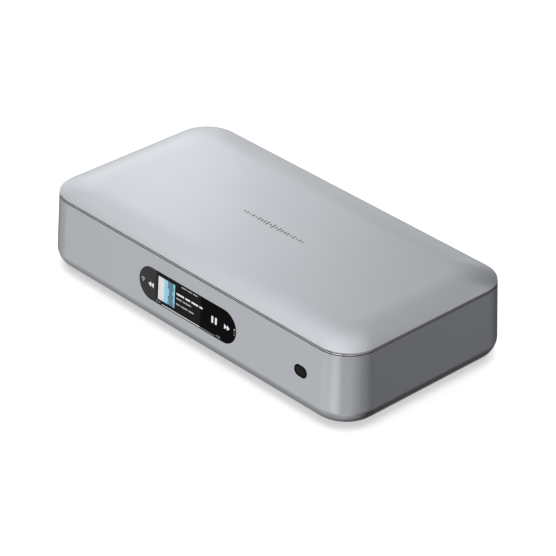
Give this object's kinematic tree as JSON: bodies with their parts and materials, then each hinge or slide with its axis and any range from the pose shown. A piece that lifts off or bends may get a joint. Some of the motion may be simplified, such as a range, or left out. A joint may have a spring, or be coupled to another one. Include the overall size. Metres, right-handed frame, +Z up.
{
  "type": "mini hifi system",
  "caption": "Flat rounded aluminium network amplifier with a touch display in its front, a crowned cover, and sockets and speaker terminals in a rear bay.",
  "frame": {"origin": "on the ground under the middle of the case", "axes": "+X to the right seen from the front, +Y towards the rear, +Z up; the display faces -Y"},
  "size_m": [0.3204, 0.1674, 0.0656],
  "materials": {
    "case_aluminium": "fine bead-blasted, silver-grey anodised, satin",
    "polished_trim": "diamond-cut and polished",
    "black_plastic": "fine spark-eroded texture",
    "foot_rubber": "matt moulded silicone rubber",
    "display_glass": "gloss cover glass with a black printed back",
    "lcd": "smooth display cell, lit where the picture is",
    "circuit_board": "solder mask with printed legend and plated pads",
    "amber_film": "polyimide film",
    "plated_steel": "tin-plated, satin",
    "chip_plastic": "moulded epoxy",
    "heatsink_aluminium": "extruded, light anodised",
    "ferrite": "pressed and ground ferrite",
    "can_sleeve": "shrunk sleeve over an aluminium can",
    "winding_tape": "wound polyester tape over a ferrite core",
    "white_film": "folded insulating film",
    "lead_jacket": "sleeved bundle of leads",
    "black_screw": "black zinc",
    "rca_body": "moulded block with nickel sleeves",
    "button_plastic": "smooth moulded",
    "gold_contact": "gold-plated brass",
    "post_black": "moulded knob, black",
    "post_red": "moulded knob, red"
  },
  "bodies": {
    "root": {"body_shell": "case_aluminium", "top_cover": "case_aluminium", "trim_ring": "polished_trim", "base_plate": "black_plastic", "display_glass": "display_glass", "display_gasket": "foot_rubber", "lcd_panel": "lcd", "display_frame": "black_plastic", "touch_board": "circuit_board", "display_flex": "amber_film", "ir_window": "display_glass", "ir_board": "circuit_board", "main_board": "circuit_board", "soc_shield": "plated_steel", "wifi_module": "plated_steel", "amplifier_chip": "chip_plastic", "amp_heatsink": "heatsink_aluminium", "output_choke_1": "ferrite", "output_choke_2": "ferrite", "rail_capacitor_1": "can_sleeve", "rail_capacitor_2": "can_sleeve", "psu_board": "circuit_board", "mains_choke": "ferrite", "mains_capacitor": "can_sleeve", "psu_transformer": "winding_tape", "insulation_sheet": "white_film", "supply_lead": "lead_jacket", "antenna_1": "circuit_board", "antenna_2": "circuit_board", "rear_panel": "black_plastic", "rear_screw_1": "black_screw", "rear_screw_2": "black_screw", "mains_inlet": "black_plastic", "usb_socket": "plated_steel", "lan_socket": "plated_steel", "hdmi_socket": "plated_steel", "optical_socket": "black_plastic", "rca_block": "rca_body", "foot_1": "foot_rubber", "base_screw_1": "black_screw", "post_stem_1": "gold_contact", "foot_2": "foot_rubber", "base_screw_2": "black_screw", "post_stem_2": "gold_contact", "foot_3": "foot_rubber", "base_screw_3": "black_screw", "post_stem_3": "gold_contact", "foot_4": "foot_rubber", "base_screw_4": "black_screw", "post_stem_4": "gold_contact"},
    "post_core_1": {"post_core_1": "gold_contact"},
    "post_cap_1": {"post_cap_1": "post_black"},
    "post_core_2": {"post_core_2": "gold_contact"},
    "post_cap_2": {"post_cap_2": "post_red"},
    "post_core_3": {"post_core_3": "gold_contact"},
    "post_cap_3": {"post_cap_3": "post_black"},
    "post_core_4": {"post_core_4": "gold_contact"},
    "post_cap_4": {"post_cap_4": "post_red"},
    "optical_shutter": {"optical_shutter": "black_plastic"},
    "pair_button": {"pair_button": "button_plastic"}
  },
  "joints": [
    {"name": "post_1_travel", "type": "slide", "parent": "root", "child": "post_core_1", "axis": [0, 1, 0], "range_m": [0, 0.003]},
    {"name": "post_1_turn", "type": "hinge", "parent": "post_core_1", "child": "post_cap_1", "pos_m": [0.08262, 0.074, 0.0405], "axis": [0, 1, 0], "range_deg": [0, 1080]},
    {"name": "post_2_travel", "type": "slide", "parent": "root", "child": "post_core_2", "axis": [0, 1, 0], "range_m": [0, 0.003]},
    {"name": "post_2_turn", "type": "hinge", "parent": "post_core_2", "child": "post_cap_2", "pos_m": [0.10162, 0.074, 0.0405], "axis": [0, 1, 0], "range_deg": [0, 1080]},
    {"name": "post_3_travel", "type": "slide", "parent": "root", "child": "post_core_3", "axis": [0, 1, 0], "range_m": [0, 0.003]},
    {"name": "post_3_turn", "type": "hinge", "parent": "post_core_3", "child": "post_cap_3", "pos_m": [0.08262, 0.074, 0.0225], "axis": [0, 1, 0], "range_deg": [0, 1080]},
    {"name": "post_4_travel", "type": "slide", "parent": "root", "child": "post_core_4", "axis": [0, 1, 0], "range_m": [0, 0.003]},
    {"name": "post_4_turn", "type": "hinge", "parent": "post_core_4", "child": "post_cap_4", "pos_m": [0.10162, 0.074, 0.0225], "axis": [0, 1, 0], "range_deg": [0, 1080]},
    {"name": "optical_shutter_swing", "type": "hinge", "parent": "root", "child": "optical_shutter", "pos_m": [0.03357, 0.0651, 0.02695], "axis": [-1, 0, 0], "range_deg": [0, 80], "stiffness_Nm_per_rad": 0.0002, "springref_deg": -20.05},
    {"name": "pair_button_press", "type": "slide", "parent": "root", "child": "pair_button", "axis": [0, -1, 0], "range_m": [0, 0.0008], "stiffness_N_per_m": 400, "springref_m": -0.001}
  ],
  "couplings": [
    {"joint": "post_1_turn", "follows": "post_1_travel", "rad_per_m": 6283.2},
    {"joint": "post_2_turn", "follows": "post_2_travel", "rad_per_m": 6283.2},
    {"joint": "post_3_turn", "follows": "post_3_travel", "rad_per_m": 6283.2},
    {"joint": "post_4_turn", "follows": "post_4_travel", "rad_per_m": 6283.2}
  ]
}
